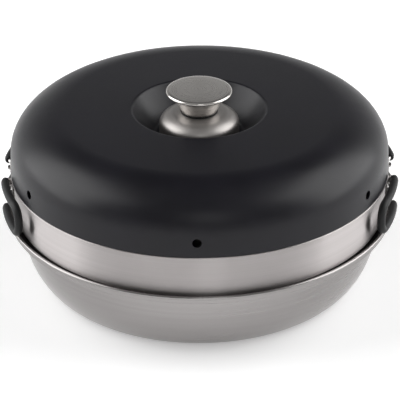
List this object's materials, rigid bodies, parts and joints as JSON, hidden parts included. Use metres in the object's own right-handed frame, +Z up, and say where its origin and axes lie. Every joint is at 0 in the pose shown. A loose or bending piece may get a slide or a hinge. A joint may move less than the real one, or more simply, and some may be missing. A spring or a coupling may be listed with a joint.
{
  "type": "camp oven",
  "caption": "Round stove-top camp oven: flame-hole base bowl, ring baking tin with chimney and folding wing handles, domed lid with vents and turned knob.",
  "frame": {"origin": "centre of the base's flat floor, on the surface that the oven stands on", "axes": "+Z up through the knob, +X towards the right-hand handle, -Y towards the front"},
  "size_m": [0.2824, 0.2784, 0.1447],
  "materials": {
    "base_steel": "brushed stainless, spun round the axis",
    "mould_steel": "brushed stainless, finer and a little brighter",
    "bracket_steel": "pressed stainless",
    "rivet_steel": "plain steel rivet",
    "wire_steel": "drawn stainless wire",
    "grip_rubber": "matt black silicone",
    "lid_black": "satin black coating",
    "rosette_steel": "fine brushed stainless",
    "gasket_rubber": "black silicone",
    "knob_steel": "turned stainless with a polished rim",
    "screw_steel": "plain steel fastener",
    "washer_steel": "plain steel washer"
  },
  "bodies": {
    "base": {"base_bowl": "base_steel"},
    "mould": {"mould_ring": "mould_steel", "mould_chimney": "mould_steel", "left_bracket": "bracket_steel", "right_bracket": "bracket_steel", "left_rivets": "rivet_steel", "right_rivets": "rivet_steel"},
    "lid": {"lid_shell": "lid_black", "knob_rosette": "rosette_steel", "knob_gasket": "gasket_rubber", "knob": "knob_steel", "knob_screw": "screw_steel", "lid_washer": "washer_steel", "lock_washer": "screw_steel"},
    "left_front_wing": {"left_front_wire": "wire_steel", "left_front_grip": "grip_rubber"},
    "left_rear_wing": {"left_rear_wire": "wire_steel", "left_rear_grip": "grip_rubber"},
    "right_front_wing": {"right_front_wire": "wire_steel", "right_front_grip": "grip_rubber"},
    "right_rear_wing": {"right_rear_wire": "wire_steel", "right_rear_grip": "grip_rubber"}
  },
  "joints": [
    {"name": "mould_lift", "type": "slide", "parent": "base", "child": "mould", "axis": [0, 0, 1], "range_m": [0, 0.06]},
    {"name": "lid_lift", "type": "slide", "parent": "mould", "child": "lid", "axis": [0, 0, 1], "range_m": [0, 0.06]},
    {"name": "left_front_swing", "type": "hinge", "parent": "mould", "child": "left_front_wing", "pos_m": [-0.13599, -0.0127, 0.0706], "axis": [0, 0, -1], "range_deg": [0, 110]},
    {"name": "left_rear_swing", "type": "hinge", "parent": "mould", "child": "left_rear_wing", "pos_m": [-0.13599, 0.0127, 0.0706], "axis": [0, 0, 1], "range_deg": [0, 110]},
    {"name": "right_front_swing", "type": "hinge", "parent": "mould", "child": "right_front_wing", "pos_m": [0.13599, -0.0127, 0.0706], "axis": [0, 0, 1], "range_deg": [0, 110]},
    {"name": "right_rear_swing", "type": "hinge", "parent": "mould", "child": "right_rear_wing", "pos_m": [0.13599, 0.0127, 0.0706], "axis": [0, 0, -1], "range_deg": [0, 110]}
  ]
}
